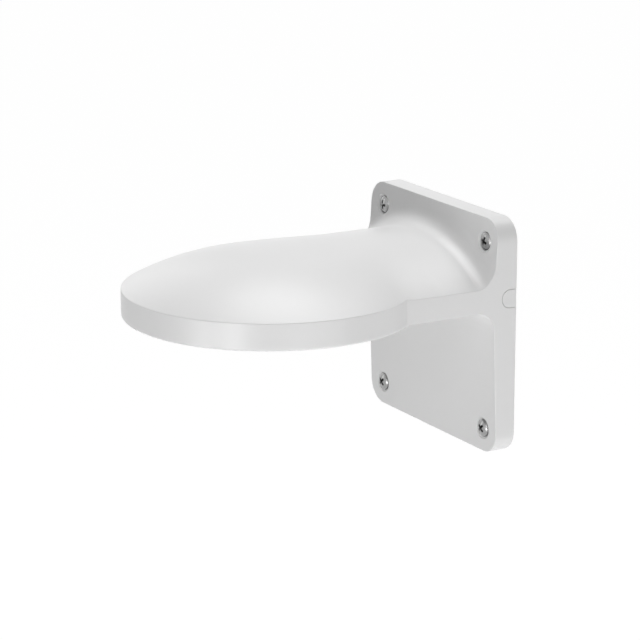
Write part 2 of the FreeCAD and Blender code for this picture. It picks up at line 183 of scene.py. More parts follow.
class ShaderGraph(NodeGraph):
    """Shader tree of one material, with the few nodes that all finishes share."""

    # The Mix node's sockets for colours, whose names its other kinds of sockets share.
    MIX_LOW, MIX_HIGH, MIX_RESULT = 6, 7, 2

    def __init__(self, name: str) -> None:
        """Make the material and empty its tree.

        Args:
            name: The material's name.
        """
        self.material = bpy.data.materials.new(name)
        self.material.use_nodes = True
        super().__init__(self.material.node_tree)
        self.output = self.node("ShaderNodeOutputMaterial")

    def place(self) -> NodeSocket:
        """Read the place on the piece.

        Returns:
            The point, in millimetres.
        """
        point = self.node("ShaderNodeTexCoord").outputs["Object"]
        scaled = self.node(
            "ShaderNodeVectorMath", {"operation": "SCALE"}, {0: point, "Scale": 1 / MM})
        return scaled.outputs[0]

    def axes(self, point: NodeSocket) -> tuple[Signal, Signal, Signal]:
        """Split a point into its three coordinates."""
        parts = self.node("ShaderNodeSeparateXYZ", None, {0: point})
        return tuple(Signal(self, socket) for socket in parts.outputs)

    def noise(self, point: NodeSocket, cell: float, detail: float = 2.0) -> Signal:
        """Add soft noise.

        Args:
            point: Where it is read, in millimetres.
            cell: The size of its largest lumps, in millimetres.
            detail: How many finer layers it has.

        Returns:
            The noise, from 0 to 1.
        """
        node = self.node(
            "ShaderNodeTexNoise", None, {"Vector": point, "Scale": 1 / cell, "Detail": detail})
        return Signal(self, node.outputs[0])

    def blend(self, factor: Signal, low: Colour, high: Colour) -> NodeSocket:
        """Blend two colours.

        Args:
            factor: 0 gives the first colour and 1 the second.
            low: The first colour.
            high: The second colour.

        Returns:
            The blended colour's socket.
        """
        node = self.node("ShaderNodeMix", {"data_type": "RGBA"}, {
            "Factor": factor, self.MIX_LOW: opaque(low), self.MIX_HIGH: opaque(high)})
        return node.outputs[self.MIX_RESULT]

    def bump(self, height: Signal, depth: float) -> NodeSocket:
        """Tilt the surface as a height from 0 to 1 times depth, in metres, would."""
        return self.node("ShaderNodeBump", None, {"Height": height, "Distance": depth}).outputs[0]

    def surface(self, inputs: dict[str, Any]) -> Material:
        """Finish the material with a principled surface.

        Args:
            inputs: Values, sockets or signals for the surface's sockets.

        Returns:
            The material.
        """
        shader = self.node("ShaderNodeBsdfPrincipled", None, inputs)
        self.feed(self.output.inputs["Surface"], shader.outputs[0])
        return self.material


# In the finishes, cells and pitches are in millimetres, as the point that they are read at
# is. Depths are in metres. A spread is how far the roughness follows a noise.


@dataclass(frozen=True)
class PowderCoat:
    """White powder coat: a fine orange peel over an even colour."""

    name: str
    colour: Colour = (0.78, 0.78, 0.78)
    shade: float = 0.985
    roughness: float = 0.34
    grain_spread: float = 0.08
    drift_spread: float = 0.04
    peel_cell: float = 0.9
    peel_depth: float = 0.0022 * MM
    grain_cell: float = 0.21
    grain_share: float = 0.2
    drift_cell: float = 38.0

    def material(self) -> Material:
        """Make the finish.

        Returns:
            The material.
        """
        graph = ShaderGraph(self.name)
        point = graph.place()
        grain = graph.noise(point, self.grain_cell, detail=1.0)
        peel = graph.noise(point, self.peel_cell, detail=1.0)
        drift = graph.noise(point, self.drift_cell)
        return graph.surface({
            "Base Color": graph.blend(drift, darkened(self.colour, self.shade), self.colour),
            "Roughness": (self.roughness + (grain - 0.5) * self.grain_spread
                          + (drift - 0.5) * self.drift_spread),
            "Normal": graph.bump(peel * (1 - self.grain_share) + grain * self.grain_share,
                                 self.peel_depth),
        })


@dataclass(frozen=True)
class CastInside:
    """Thin coat over the rougher skin that the mould leaves inside."""

    name: str
    colour: Colour = (0.72, 0.72, 0.715)
    bare: Colour = (0.60, 0.60, 0.595)
    roughness: float = 0.5
    skin_spread: float = 0.2
    skin_cell: float = 1.6
    skin_depth: float = 0.02 * MM
    patch_cell: float = 14.4
    patch_start: float = 0.35
    patch_contrast: float = 1.6

    def material(self) -> Material:
        """Make the finish.

        Returns:
            The material.
        """
        graph = ShaderGraph(self.name)
        point = graph.place()
        skin = graph.noise(point, self.skin_cell, detail=3.0)
        covered = (graph.noise(point, self.patch_cell) - self.patch_start) * self.patch_contrast
        return graph.surface({
            "Base Color": graph.blend(covered, self.bare, self.colour),
            "Roughness": self.roughness + skin * self.skin_spread,
            "Normal": graph.bump(skin, self.skin_depth),
        })


@dataclass(frozen=True)
class TappedHole:
    """Bare aluminium thread, cut after painting, with painted shade in the roots of its grooves.
    """

    name: str
    colour: Colour = (0.62, 0.62, 0.61)
    # Share of light left in the roots of the thread: painted shade.
    shade: float = 0.55
    roughness: float = 0.25
    chatter_spread: float = 0.15
    chatter_cell: float = 0.3
    pitch: float = 0.7
    thread_depth: float = 0.35 * MM

    def material(self) -> Material:
        """Make the finish.

        Returns:
            The material.
        """
        graph = ShaderGraph(self.name)
        point = graph.place()
        groove_and_painted_shade = graph.axes(point)[2].wave(self.pitch)
        chatter = graph.noise(point, self.chatter_cell)
        return graph.surface({
            # The base colour is darker in the roots of the thread: painted shade. The bump from
            # the same wave is the real relief.
            "Base Color": graph.blend(groove_and_painted_shade, darkened(self.colour, self.shade), self.colour),
            "Metallic": 1.0,
            "Roughness": self.roughness + chatter * self.chatter_spread,
            "Normal": graph.bump(groove_and_painted_shade, self.thread_depth),
        })


@dataclass(frozen=True)
class MouldedPlastic:
    """White plastic with a fine spark-eroded texture."""

    name: str
    colour: Colour = (0.78, 0.78, 0.78)
    shade: float = 0.97
    roughness: float = 0.46
    texture_spread: float = 0.12
    texture_cell: float = 0.16
    texture_depth: float = 0.004 * MM
    drift_cell: float = 6.4

    def material(self) -> Material:
        """Make the finish.

        Returns:
            The material.
        """
        graph = ShaderGraph(self.name)
        point = graph.place()
        texture = graph.noise(point, self.texture_cell)
        drift = graph.noise(point, self.drift_cell)
        return graph.surface({
            "Base Color": graph.blend(drift, darkened(self.colour, self.shade), self.colour),
            "Roughness": self.roughness + texture * self.texture_spread,
            "Normal": graph.bump(texture, self.texture_depth),
        })


@dataclass(frozen=True)
class ScrewSteel:
    """Plated steel with the fine rings of a formed and tumbled head."""

    name: str
    screw_pitch: float
    colour: Colour = (0.36, 0.36, 0.36)
    shade: float = 0.8
    roughness: float = 0.16
    smudge_spread: float = 0.1
    smudge_cell: float = 1.4
    ring_pitch: float = 0.22
    scratch_cell: float = 0.1
    scratch_share: float = 0.5
    scratch_depth: float = 0.0012 * MM

    def material(self) -> Material:
        """Make the finish, whose rings run round each of the four screws.

        Returns:
            The material.
        """
        graph = ShaderGraph(self.name)
        point = graph.place()
        across, _, up = graph.axes(point)
        half = self.screw_pitch / MM / 2
        aside = abs(across) - half
        above = abs(up) - half
        rings = ((aside * aside + above * above) ** 0.5).wave(self.ring_pitch)
        smudge = graph.noise(point, self.smudge_cell)
        scratch = graph.noise(point, self.scratch_cell)
        return graph.surface({
            "Base Color": graph.blend(smudge, darkened(self.colour, self.shade), self.colour),
            "Metallic": 1.0,
            "Roughness": self.roughness + smudge * self.smudge_spread,
            "Normal": graph.bump(
                rings * (1 - self.scratch_share) + scratch * self.scratch_share,
                self.scratch_depth),
        })


def band(first: int, second: int, steps: int) -> list[Face]:
    """List the faces between two closed rows of corners.

    Args:
        first: The number of the first row's first corner.
        second: The number of the second row's first corner.
        steps: How many corners each row has.

    Returns:
        The corners of each face, by number.
    """
    return [(first + step, second + step, second + (step + 1) % steps, first + (step + 1) % steps)
            for step in range(steps)]


def polygon_mesh(name: str, points: Sequence[Vector], faces: Iterable[Face]) -> Mesh:
    """Make a mesh with its normals turned outwards.

    Args:
        name: The mesh's name.
        points: Its corners.
        faces: The corners of each face, by number.

    Returns:
        The mesh.
    """
    shape = bmesh.new()
    corners = [shape.verts.new(point) for point in points]
    for face in faces:
        shape.faces.new([corners[number] for number in face])
    bmesh.ops.recalc_face_normals(shape, faces=shape.faces)
    mesh = bpy.data.meshes.new(name)
    shape.to_mesh(mesh)
    shape.free()
    return mesh


def smooth(mesh: Mesh, angle: float) -> None:
    """Shade a mesh smooth, apart from the edges that turn by more than an angle."""
    mesh.shade_smooth()
    mesh.set_sharp_from_angle(angle=angle)


def show(name: str, data: ID) -> Object:
    """Put a mesh, a lamp or a camera into the scene as an object at the origin.

    Args:
        name: The object's name.
        data: The mesh, the lamp or the camera.

    Returns:
        The object.
    """
    thing = bpy.data.objects.new(name, data)
    bpy.context.scene.collection.objects.link(thing)
    return thing


def worked_out(thing: Object) -> Mesh:
    """Turn what an object's modifiers make into a plain mesh, and remove them.

    Args:
        thing: The object, which keeps its own mesh.

    Returns:
        The mesh.
    """
    depsgraph = bpy.context.evaluated_depsgraph_get()
    mesh = bpy.data.meshes.new_from_object(thing.evaluated_get(depsgraph))
    thing.modifiers.clear()
    return mesh


def hand_over(piece: Object, slot: str, *nodes: str) -> None:
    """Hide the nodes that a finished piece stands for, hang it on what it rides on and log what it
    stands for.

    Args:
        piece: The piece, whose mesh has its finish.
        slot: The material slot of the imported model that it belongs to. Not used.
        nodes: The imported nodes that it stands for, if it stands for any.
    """
    if nodes:
        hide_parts(*nodes)
    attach(piece, BODY)
    LOG.info("%s: %d faces, stands for %s",
             piece.name, len(piece.data.polygons), ", ".join(nodes) or "no node")


class TrueNormals:
    """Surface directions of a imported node, as its exact surfaces have them."""

    # Cosine of the angle within which a surface's direction is taken for the one asked for.
    LEAST_AGREEMENT = 0.7

    def __init__(self, mesh: Mesh) -> None:
        """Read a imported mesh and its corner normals.

        Args:
            mesh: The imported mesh, whose faces are triangles.
        """
        self.points = [vertex.co.copy() for vertex in mesh.vertices]
        self.faces = [tuple(polygon.vertices) for polygon in mesh.polygons]
        self.corners = [
            [mesh.corner_normals[number].vector.copy() for number in polygon.loop_indices]
            for polygon in mesh.polygons]
        self.tree = BVHTree.FromPolygons(self.points, self.faces)

    def gap(self, point: Vector) -> float:
        """Measure how far a point lies off the surface."""
        return (self.tree.find_nearest(point)[0] - point).length

    def at(self, point: Vector, guide: Vector, reach: float) -> Vector:
        """Find the surface's direction.

        Args:
            point: A point on or near the surface.
            guide: Its rough direction there, which tells two faces at an edge apart.
            reach: How far off the surface may lie.

        Returns:
            The direction that agrees best with the guide.
        """
        best = guide
        agreement = self.LEAST_AGREEMENT
        for spot, _, number, _ in self.tree.find_nearest_range(point, reach):
            normal = self._blend(number, spot)
            if normal.dot(guide) > agreement:
                agreement = normal.dot(guide)
                best = normal
        return best

    def _blend(self, number: int, spot: Vector) -> Vector:
        """Blend the corner normals of one face.

        Args:
            number: The face's number.
            spot: The point on it that the normal is for.

        Returns:
            The blended normal.
        """
        a, b, c = (self.points[index] for index in self.faces[number])
        whole = (b - a).cross(c - a)
        size = whole.length_squared
        if size == 0:
            return self.corners[number][0]
        share_b = (spot - a).cross(c - a).dot(whole) / size
        share_c = (b - a).cross(spot - a).dot(whole) / size
        first, second, third = self.corners[number]
        blend = first * (1 - share_b - share_c) + second * share_b + third * share_c
        return blend.normalized()


@dataclass(frozen=True)
class EdgeRounding:
    """Small radius on every sharp edge, which catches the light.

    Edges that turn by more than `sharp` are rounded, after faces that differ by less than
    `level` are joined. Faces whose directions have a cosine over `beside` run on into each
    other. Where a rounding fails, edges up to `margin` beyond the failed corner stay sharp.
    """

    width: float
    sharp: float = math.radians(28)
    level: float = math.radians(0.3)
    beside: float = 0.5
    segments: int = 2
    merge: float = 0.001 * MM
    margin: float = 1.0 * MM
    tries: int = 4

    def apply(self, source: Mesh, name: str,
              mark: Callable[[BMesh], None] | None = None,
              crisp: Callable[[Vector], bool] | None = None) -> Mesh:
        """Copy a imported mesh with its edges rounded.

        An edge that has no room for the radius would throw corners far off the surface.
        The edges next to such a corner stay sharp.

        Args:
            source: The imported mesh, which is left as it is.
            name: The new mesh's name.
            mark: Gives the faces their materials before the edges are rounded.
            crisp: Tells whether the edges about a place stay sharp.

        Returns:
            The new mesh, with the exact surface's normals.
        """
        truth = TrueNormals(source)
        plain = self._merged(source, mark)
        sharp = [edge for edge in plain.edges
                 if edge.is_manifold and edge.calc_face_angle(0) > self.sharp]
        kept = {edge.index for edge in sharp
                if crisp is None or not crisp((edge.verts[0].co + edge.verts[1].co) / 2)}
        for attempt in range(self.tries):
            shape, strips = self._round(plain, kept)
            stray = [(vertex.co, gap) for vertex in shape.verts
                     if (gap := truth.gap(vertex.co)) > self.width / 2]
            LOG.info("%s: %d of %d sharp edges rounded, %d stray corners",
                     name, len(kept), len(sharp), len(stray))
            if not stray or attempt == self.tries - 1:
                break
            for place, gap in stray:
                kept -= {edge.index for edge in sharp
                         if self._is_near(edge, place, gap + self.margin)}
            shape.free()
        plain.free()
        normals = [self._normal(vertex, face, strips, truth)
                   for face in shape.faces for vertex in face.verts]
        for face in shape.faces:
            face.smooth = True
        mesh = bpy.data.meshes.new(name)
        shape.to_mesh(mesh)
        shape.free()
        mesh.normals_split_custom_set(normals)
        return mesh

    def _merged(self, source: Mesh, mark: Callable[[BMesh], None] | None) -> BMesh:
        """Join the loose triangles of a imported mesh, and its level faces.

        Args:
            source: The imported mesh.
            mark: Gives the faces their materials, which part level faces.

        Returns:
            The joined copy, with its edges numbered.
        """
        plain = bmesh.new()
        plain.from_mesh(source)
        bmesh.ops.remove_doubles(plain, verts=plain.verts, dist=self.merge)
        if mark is not None:
            mark(plain)
        bmesh.ops.dissolve_limit(plain, angle_limit=self.level, verts=plain.verts,
                                 edges=plain.edges, delimit={"MATERIAL"})
        plain.edges.index_update()
        return plain

    def _round(self, plain: BMesh, kept: set[int]) -> tuple[BMesh, set[BMFace]]:
        """Round edges on a copy.

        Args:
            plain: The mesh, which is left as it is.
            kept: The numbers of the edges to round.

        Returns:
            The copy, and the faces of its roundings.
        """
        shape = plain.copy()
        shape.edges.index_update()
        edges = [edge for edge in shape.edges if edge.index in kept]
        rounded = bmesh.ops.bevel(
            shape, geom=edges, offset=self.width, offset_type="OFFSET", segments=self.segments,
            profile=0.5, affect="EDGES", clamp_overlap=False, loop_slide=True, material=-1)
        return shape, set(rounded["faces"])

    @staticmethod
    def _is_near(edge: BMEdge, place: Vector, reach: float) -> bool:
        """Tell whether an end or the middle of an edge is within reach of a place."""
        first, second = (vertex.co for vertex in edge.verts)
        return min((spot - place).length for spot in (first, second, (first + second) / 2)) < reach

    def _normal(self, vertex: BMVert, face: BMFace, strips: set[BMFace],
                truth: TrueNormals) -> Vector:
        """Find the surface's direction at one corner of a face.

        A rounding takes the direction of the face that it meets there, and its own
        between two faces.

        Args:
            vertex: The corner.
            face: The face.
            strips: The faces of the roundings.
            truth: The exact surface's directions.

        Returns:
            The direction.
        """
        if face not in strips:
            return truth.at(vertex.co, face.normal, self.width)
        beside = [other for other in vertex.link_faces
                  if other.normal.dot(face.normal) > self.beside]
        met = [other for other in beside if other not in strips]
        guide = Vector()
        for other in met or beside:
            guide += other.normal * other.calc_area()
        guide.normalize()
        return truth.at(vertex.co, guide, self.width) if met else guide


@dataclass
class Casting:
    """One-piece casting: disc, domed arm and wall plate, with its hollow inside.

    A face lies on a plane when it is within `slack` of it and its direction's cosine to the
    plane's is over `flat`. One with a cosine to +X under `sideways` runs along the entry.
    """

    node: str = "bracket_body"
    rounding: EdgeRounding = EdgeRounding(0.3 * MM)
    rim_level: float = 11.05 * MM
    entry_low: Vector = field(default_factory=lambda: Vector((46.9, -7.4, 12.9)) * MM)
    entry_high: Vector = field(default_factory=lambda: Vector((50.1, 0.1, 21.3)) * MM)
    tapped_holes: int = 3
    tapped_radius: float = 1.7 * MM
    hole_circle: float = 42.5 * MM
    disc_middle: float = -88.0 * MM
    slack: float = 0.01 * MM
    flat: float = 0.99
    sideways: float = 0.5

    def build(self) -> Object:
        """Copy the casting with rounded edges and dress each side of it.

        Returns:
            The piece.
        """
        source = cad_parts[self.node].data
        mesh = self.rounding.apply(source, "casting", self._mark_sides, self._is_at_entry)
        self._dress(mesh)
        piece = show("casting", mesh)
        hand_over(piece, "shell_paint", self.node)
        return piece

    @staticmethod
    def _dress(mesh: Mesh) -> None:
        """Give the casting its three finishes, in the order of Side.

        Args:
            mesh: The casting's mesh, whose faces are marked.
        """
        finishes = (PowderCoat("white_powder_coat"), CastInside("cast_inside"),
                    TappedHole("tapped_holes"))
        for finish in finishes:
            mesh.materials.append(finish.material())

    def _is_at_entry(self, place: Vector) -> bool:
        """Tell whether a place lies on the outline of the cable entry, which the plug fills."""
        low, high = self.entry_low, self.entry_high
        return all(a < b < c for a, b, c in zip(low, place, high))

    def _is_border(self, face: BMFace) -> bool:
        """Tell whether a face parts the outside from the hollow inside.

        Args:
            face: A face of the merged casting.

        Returns:
            Whether it lies on the wall side, on the rim that the camera seats on or round
            the cable entry.
        """
        middle = face.calc_center_median()
        at_wall = abs(middle.y) < self.slack and abs(face.normal.y) > self.flat
        at_rim = abs(middle.z - self.rim_level) < self.slack and abs(face.normal.z) > self.flat
        in_entry = self._is_at_entry(middle) and abs(face.normal.x) < self.sideways
        return at_wall or at_rim or in_entry

    def _mark_sides(self, shape: BMesh) -> None:
        """Set each face's material by the side of the casting that it lies on.

        Args:
            shape: The merged casting.
        """
        border = {face for face in shape.faces if self._is_border(face)}
        start = max(shape.faces,
                    key=lambda face: face.calc_center_median().z * (face not in border))
        outside = self._spread(start, border) | border
        for face in shape.faces:
            side = Side.OUTSIDE if face in outside else Side.INSIDE
            if side is Side.INSIDE and self._is_tapped(face.calc_center_median()):
                side = Side.TAPPED
            face.material_index = side.value

    def _is_tapped(self, place: Vector) -> bool:
        """Tell whether a place lies in one of the screw holes for the camera.

        Args:
            place: A point of the casting.

        Returns:
            Whether it does.
        """
        for number in range(self.tapped_holes):
            angle = number * math.tau / self.tapped_holes
            axis = Vector((math.sin(angle), -math.cos(angle))) * self.hole_circle
            axis.y += self.disc_middle
            if (place.xy - axis).length < self.tapped_radius:
                return True
        return False

    @staticmethod
    def _spread(start: BMFace, border: set[BMFace]) -> set[BMFace]:
        """Collect the faces that hang together without crossing the border.

        Args:
            start: The first face.
            border: The faces that end the search.

        Returns:
            The faces that hang together with the first one.
        """
        found = {start}
        waiting = [start]
        while waiting:
            for edge in waiting.pop().edges:
                for face in edge.link_faces:
                    if face not in found and face not in border:
                        found.add(face)
                        waiting.append(face)
        return found


@dataclass
class WellChamfers:
    """Chamfers that lead from the wall plate's face down to the four screw heads.

    Each is the top of a ring that stands on the floor of its well. The plate's face is found
    by a ray towards the wall, `probe_margin` outside the ring.
    """

    node: str = "bracket_body"
    pitch: float = SCREW_PITCH
    outer_radius: float = 4.62 * MM
    inner_radius: float = 3.85 * MM
    start: float = 0.25 * MM
    drop: float = 0.5 * MM
    floor: float = 6.88 * MM
    steps: int = 64
    probe_start: float = -1.0
    probe_margin: float = 0.03 * MM
    smooth_angle: float = math.radians(25)

    def build(self) -> Object:
        """Make the four rings and dress them as the casting is.

        Returns:
            The rings as one piece.
        """
        mesh = self._rings()
        smooth(mesh, self.smooth_angle)
        mesh.materials.append(PowderCoat("well_powder_coat").material())
        piece = show("well_chamfers", mesh)
        hand_over(piece, "shell_paint")
        return piece

    def _rings(self) -> Mesh:
        """Make the mesh of the four rings.

        Returns:
            The mesh.
        """
        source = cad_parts[self.node].data
        plate = BVHTree.FromPolygons([vertex.co for vertex in source.vertices],
                                     [polygon.vertices for polygon in source.polygons])
        points: list[Vector] = []
        faces: list[Face] = []
        for across, up in ((-1, -1), (1, -1), (-1, 1), (1, 1)):
            first = len(points)
            rows = self._rows(plate, Vector((across, 0, up)) * self.pitch / 2)
            starts = [first + number * self.steps for number in range(len(rows))]
            for row, start, after in zip(rows, starts, starts[1:] + starts[:1]):
                points += row
                faces += band(start, after, self.steps)
        return polygon_mesh("well_chamfers", points, faces)

    def _rows(self, plate: BVHTree, middle: Vector) -> list[list[Vector]]:
        """List the corners of one ring.

        Args:
            plate: The casting's surface, whose level the ring follows.
            middle: The middle of the well, on the wall.

        Returns:
            Its four rows of corners: outer and inner top, then inner and outer bottom.
        """
        rows: list[list[Vector]] = [[], [], [], []]
        for step in range(self.steps):
            angle = step * math.tau / self.steps
            outward = Vector((math.cos(angle), 0, math.sin(angle)))
            outer = middle + outward * self.outer_radius
            inner = middle + outward * self.inner_radius
            probe = Vector((outer.x, self.probe_start, outer.z)) + outward * self.probe_margin
            level = plate.ray_cast(probe, Vector((0, 1, 0)))[0].y + self.start
            depths = (level, level + self.drop, -self.floor, -self.floor)
            for row, spot, depth in zip(rows, (outer, inner, inner, outer), depths):
                row.append(Vector((spot.x, depth, spot.z)))
        return rows


@dataclass
class EntryPlug:
    """Moulded plug that closes the cable entry in the plate's side."""

    node: str = "side_entry_plug"
    rounding: EdgeRounding = EdgeRounding(0.05 * MM)

    def build(self) -> Object:
        """Copy the plug with rounded edges and dress it.

        Returns:
            The piece.
        """
        mesh = self.rounding.apply(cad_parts[self.node].data, "entry_plug")
        mesh.materials.append(MouldedPlastic("plug_plastic").material())
        piece = show("entry_plug", mesh)
        hand_over(piece, "plug_plastic", self.node)
        return piece


@dataclass
class WallScrews:
    """Four pan head tapping screws with a cross recess, in the wells of the wall plate.

    The thread's length and end are shares of the shank, and the edge's cut is a share of its
    radius. The seed decides how far each screw is turned.
    """

    nodes: tuple[str, ...] = ("wall_screw_top_left", "wall_screw_top_right",
                              "wall_screw_bottom_left", "wall_screw_bottom_right")
    pitch: float = SCREW_PITCH
    seat: float = 6.9 * MM
    head_radius: float = 3.75 * MM
    head_height: float = 3.3 * MM
    head_edge: float = 2.2 * MM
    edge_radius: float = 0.22 * MM
    edge_cut: float = 0.3
    crown_steps: int = 9
    core_radius: float = 1.5 * MM
    shank: float = 6.7 * MM
    thread_radius: float = 1.95 * MM
    thread_pitch: float = 1.3 * MM
    thread_share: float = 0.9
    thread_end: float = 0.97
    thread_steps: int = 28
    recess_length: float = 4.6 * MM
    recess_width: float = 1.3 * MM
    recess_depth: float = 1.9 * MM
    recess_taper: float = 0.55
    recess_above: float = 0.5 * MM
    steps: int = 48
    smooth_angle: float = math.radians(35)
    seed: int = 5

    def build(self) -> Object:
        """Make one screw, set it four times and dress the set.

        Returns:
            The four screws as one piece.
        """
        template = self._template()
        material = ScrewSteel("screw_steel", self.pitch).material()
        mesh = self._set_out(template, material)
        bpy.data.objects.remove(template)
        smooth(mesh, self.smooth_angle)
        piece = show("wall_screws", mesh)
        hand_over(piece, "screw_steel", *self.nodes)
        return piece

    def _profile(self) -> list[tuple[float, float]]:
        """Draw the screw's outline, from its crown to its tip.

        Returns:
            The radius and the height of each point.
        """
        rise = self.head_height - self.head_edge
        bend = (self.head_radius ** 2 + rise ** 2) / (2 * rise)
        edge = self.edge_radius
        cut = edge * self.edge_cut
        outline = []
        for step in range(self.crown_steps + 1):
            radius = (self.head_radius - edge) * step / self.crown_steps
            outline.append((radius, self.head_height - bend + math.sqrt(bend ** 2 - radius ** 2)))
        return outline + [
            (self.head_radius - cut, self.head_edge - cut),
            (self.head_radius, self.head_edge - edge),
            (self.head_radius, edge),
            (self.head_radius - edge, 0.0),
            (self.core_radius, 0.0),
            (self.core_radius, edge - self.shank),
            (self.core_radius - edge, -self.shank),
            (0.0, -self.shank)]

    def _turned(self) -> Mesh:
        """Turn the outline about the screw's axis.

        Returns:
            The screw without its recess and thread.
        """
        outline = self._profile()
        points = [Vector((0, 0, outline[0][1])), Vector((0, 0, outline[-1][1]))]
        first = len(points)
        for radius, height in outline[1:-1]:
            for step in range(self.steps):
                angle = step * math.tau / self.steps
                points.append(Vector((radius * math.cos(angle), radius * math.sin(angle), height)))
        last = len(points) - self.steps
        pairs = [(step, (step + 1) % self.steps) for step in range(self.steps)]
        faces: list[Face] = [(0, first + step, first + after) for step, after in pairs]
        faces += [(1, last + after, last + step) for step, after in pairs]
        for row in range(first, last, self.steps):
            faces += band(row, row + self.steps, self.steps)
        return polygon_mesh("screw_turned", points, faces)

    @staticmethod
    def _cross(length: float, width: float, height: float) -> list[Vector]:
        """Draw a cross.

        Args:
            length: How long its two bars are.
            width: How wide they are.
            height: The level that it lies at.

        Returns:
            Its twelve corners.
        """
        arm, slot = length / 2, width / 2
        quarter = [Vector((arm, -slot, height)), Vector((arm, slot, height)),
                   Vector((slot, slot, height))]
        return [Matrix.Rotation(math.radians(90 * turn), 3, "Z") @ corner
                for turn in range(4) for corner in quarter]

    def _recess(self) -> Mesh:
        """Make the tapered cross that is cut out of the head.

        Returns:
            The cross, which stands out above the head.
        """
        upper = self._cross(self.recess_length, self.recess_width,
                            self.head_height + self.recess_above)
        lower = self._cross(self.recess_length * self.recess_taper,
                            self.recess_width * self.recess_taper,
                            self.head_height - self.recess_depth)
        count = len(upper)
        faces: list[Face] = [tuple(range(count)), tuple(range(2 * count - 1, count - 1, -1))]
        faces += band(0, count, count)
        return polygon_mesh("screw_recess", upper + lower, faces)

    def _template(self) -> Object:
        """Make the screw without its thread.

        Returns:
            The screw, whose head stands on the origin, along +Z.
        """
        body = show("screw_body", self._turned())
        cutter = show("screw_cutter", self._recess())
        cut = body.modifiers.new("recess", "BOOLEAN")
        cut.object = cutter
        cut.operation = "DIFFERENCE"
        cut.solver = "EXACT"
        body.data = worked_out(body)
        bpy.data.objects.remove(cutter)
        return body

    def _set_out(self, template: Object, material: Material) -> Mesh:
        """Run the tree and keep its result as a plain mesh.

        Args:
            template: The screw that is set four times.
            material: Its finish.

        Returns:
            The four screws.
        """
        inputs = {
            "Screw": ("Object", template),
            "Finish": ("Material", material),
            "Pitch": ("Float", self.pitch),
            "Seat": ("Float", self.seat),
            "Core Radius": ("Float", self.core_radius),
            "Thread Radius": ("Float", self.thread_radius),
            "Thread Pitch": ("Float", self.thread_pitch),
            "Shank": ("Float", self.shank),
            "Seed": ("Int", self.seed),
        }
        holder = show("screw_holder", bpy.data.meshes.new("screw_holder"))
        maker = holder.modifiers.new("screws", "NODES")
        maker.node_group = self._tree({name: kind for name, (kind, _) in inputs.items()})
        for socket in maker.node_group.interface.items_tree:
            if socket.in_out == "INPUT":
                maker[socket.identifier] = inputs[socket.name][1]
        mesh = worked_out(holder)
        mesh.name = "wall_screws"
        bpy.data.objects.remove(holder)
        return mesh

    def _tree(self, kinds: dict[str, str]) -> NodeTree:
        """Make the tree that adds the thread and sets the screw at the plate's four corners.

        Args:
            kinds: The kind of socket of each of its inputs, by name.

        Returns:
            The tree.
        """
        tree = bpy.data.node_groups.new("screw_set", "GeometryNodeTree")
        tree.interface.new_socket("Geometry", in_out="OUTPUT", socket_type="NodeSocketGeometry")
        for name, kind in kinds.items():
            tree.interface.new_socket(name, in_out="INPUT", socket_type=f"NodeSocket{kind}")
        graph = NodeGraph(tree)
        given = graph.node("NodeGroupInput").outputs
        whole = graph.node("GeometryNodeJoinGeometry")
        screw = graph.node("GeometryNodeObjectInfo", None, {"Object": given["Screw"]})
        for part in (self._thread(graph, given), screw.outputs["Geometry"]):
            tree.links.new(part, whole.inputs[0])
        grid = graph.node("GeometryNodeMeshGrid", None, {
            "Size X": given["Pitch"], "Size Y": given["Pitch"], "Vertices X": 2, "Vertices Y": 2})
        shift = graph.node("ShaderNodeCombineXYZ", None, {"Y": Signal(graph, given["Seat"]) * -1})
        upright = (math.radians(90), 0, 0)
        corners = graph.node("GeometryNodeTransform", None, {
            "Geometry": grid.outputs["Mesh"], "Translation": shift.outputs[0],
            "Rotation": upright})
        placed = graph.node("GeometryNodeInstanceOnPoints", None, {
            "Points": corners.outputs[0], "Instance": whole.outputs[0], "Rotation": upright})
        spin = graph.node("FunctionNodeRandomValue", {"data_type": "FLOAT"}, {
            "Seed": given["Seed"], "Min": 0.0, "Max": math.radians(90)})
        value = next(socket for socket in spin.outputs if socket.enabled)
        turn = graph.node("ShaderNodeCombineXYZ", None, {"Z": value})
        spun = graph.node("GeometryNodeRotateInstances", None, {
            "Instances": placed.outputs[0], "Rotation": turn.outputs[0], "Local Space": True})
        real = graph.node("GeometryNodeRealizeInstances", None, {"Geometry": spun.outputs[0]})
        dressed = graph.node("GeometryNodeSetMaterial", None, {
            "Geometry": real.outputs[0], "Material": given["Finish"]})
        graph.node("NodeGroupOutput", None, {"Geometry": dressed.outputs[0]})
        return tree

    def _thread(self, graph: NodeGraph, given: Any) -> NodeSocket:
        """Add the nodes of the thread: a pointed ridge wound along the shank.

        Args:
            graph: The tree that they go into.
            given: The tree's inputs, by name.

        Returns:
            The thread's geometry.
        """
        shank = Signal(graph, given["Shank"])
        core = Signal(graph, given["Core Radius"])
        length = shank * self.thread_share
        path = graph.node("GeometryNodeCurveSpiral", None, {
            "Resolution": self.thread_steps,
            "Rotations": length / Signal(graph, given["Thread Pitch"]),
            "Start Radius": core, "End Radius": core, "Height": length})
        lowered = graph.node("ShaderNodeCombineXYZ", None, {"Z": shank * -self.thread_end})
        placed = graph.node("GeometryNodeTransform", None, {
            "Geometry": path.outputs[0], "Translation": lowered.outputs[0]})
        level = graph.node(
            "GeometryNodeSetCurveNormal", {"mode": "Z_UP"}, {"Curve": placed.outputs[0]})
        ridge = graph.node("GeometryNodeCurvePrimitiveCircle", {"mode": "RADIUS"}, {
            "Resolution": 3, "Radius": Signal(graph, given["Thread Radius"]) - core})
        swept = graph.node("GeometryNodeCurveToMesh", None, {
            "Curve": level.outputs[0], "Profile Curve": ridge.outputs[0], "Fill Caps": True})
        return swept.outputs[0]


